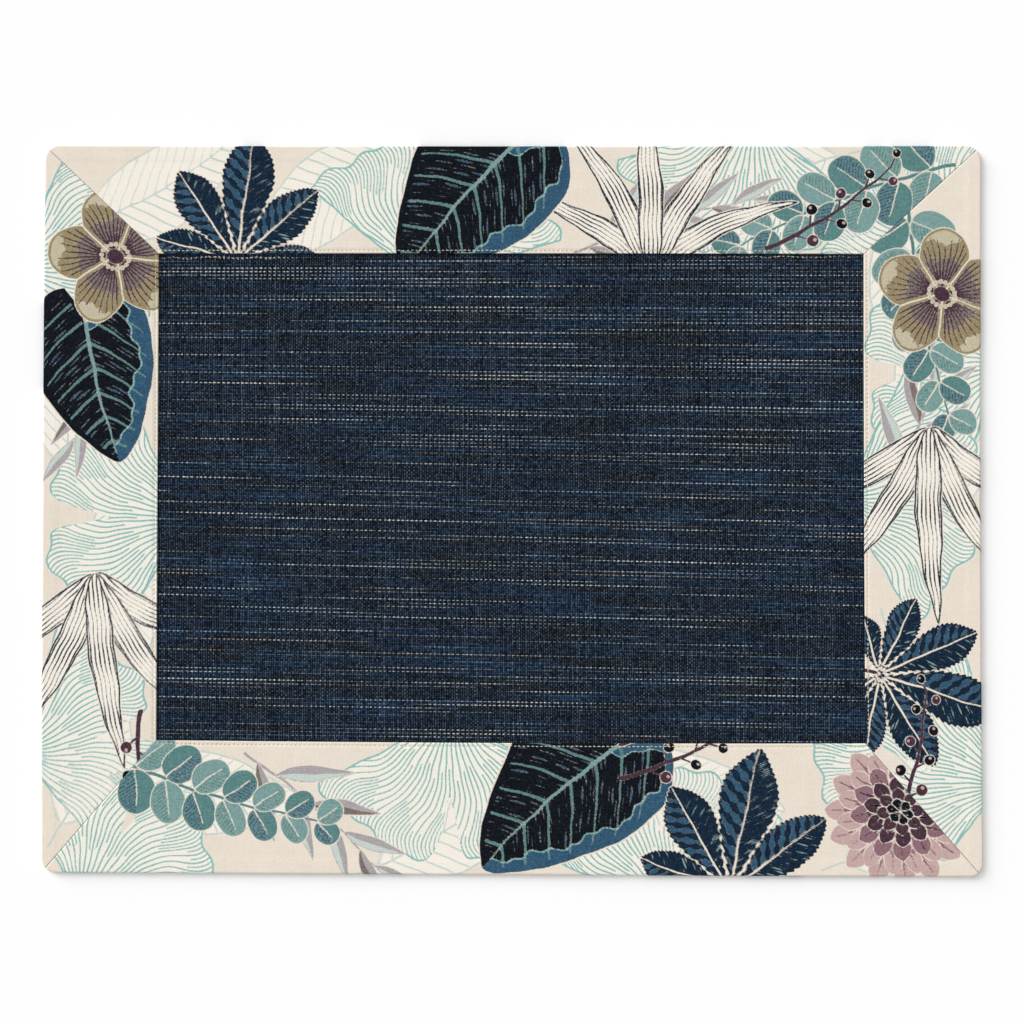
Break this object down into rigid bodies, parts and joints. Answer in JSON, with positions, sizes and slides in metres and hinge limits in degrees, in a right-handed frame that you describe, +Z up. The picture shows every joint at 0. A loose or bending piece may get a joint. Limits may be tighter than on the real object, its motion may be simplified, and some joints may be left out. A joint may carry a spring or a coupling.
{
  "type": "placemat",
  "caption": "Rectangular cloth placemat with a dark slubbed woven panel framed by a wide printed cotton border, mitred at the corners and topstitched round the opening.",
  "frame": {"origin": "centre of the mat's bounding box, on the surface it lies on", "axes": "+X along the long side, +Y away from the person seated at it, +Z up out of the printed face"},
  "size_m": [0.4514, 0.3506, 0.0025],
  "materials": {
    "woven_panel": "coarse slubbed plain weave, matt",
    "printed_border": "printed plain cotton, matt"
  },
  "bodies": {
    "root": {"panel": "woven_panel", "border_left": "printed_border", "border_front": "printed_border", "border_right": "printed_border", "border_back": "printed_border"}
  },
  "joints": []
}
